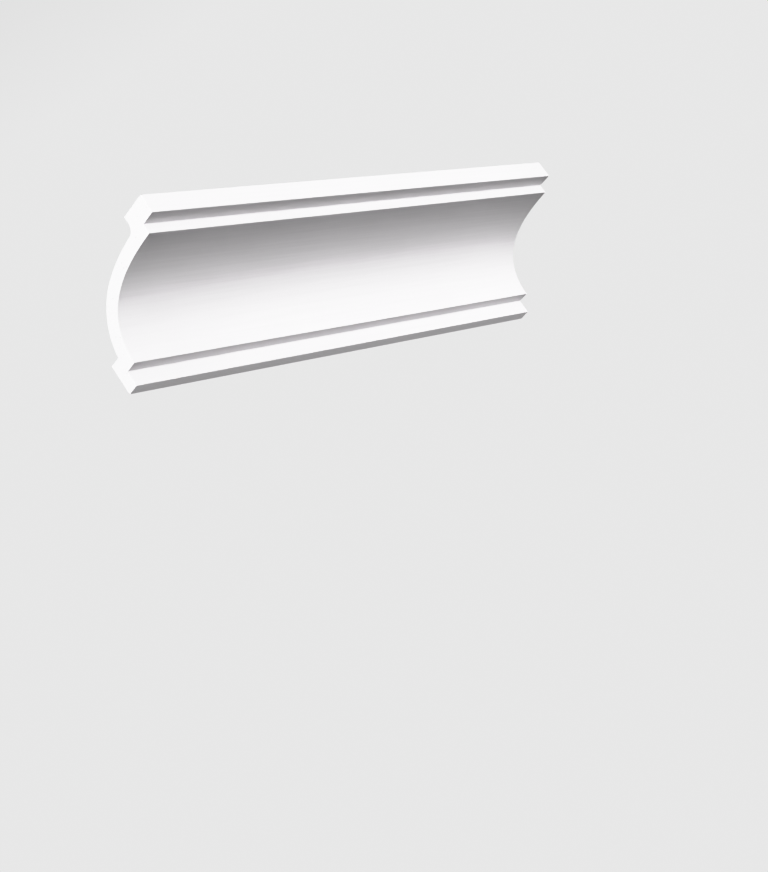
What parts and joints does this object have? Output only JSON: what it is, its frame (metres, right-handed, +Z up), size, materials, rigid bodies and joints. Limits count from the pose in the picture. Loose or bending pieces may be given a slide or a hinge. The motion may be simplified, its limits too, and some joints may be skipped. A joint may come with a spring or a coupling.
{
  "type": "cornice moulding length",
  "caption": "Cut length of white cove cornice with stepped fillets, a thin curved wall and flat glue faces for the corner of a wall and a ceiling.",
  "frame": {"origin": "middle of the wall glue face, half way along the length", "axes": "+X along the length, +Y out of the wall glue face towards the wall, +Z up out of the ceiling glue face"},
  "size_m": [0.44, 0.1, 0.0813],
  "materials": {
    "primed_white": "rigid foamed polymer with a smooth, dead-matt white factory primer"
  },
  "bodies": {
    "root": {"cornice_moulding": "primed_white"}
  },
  "joints": []
}
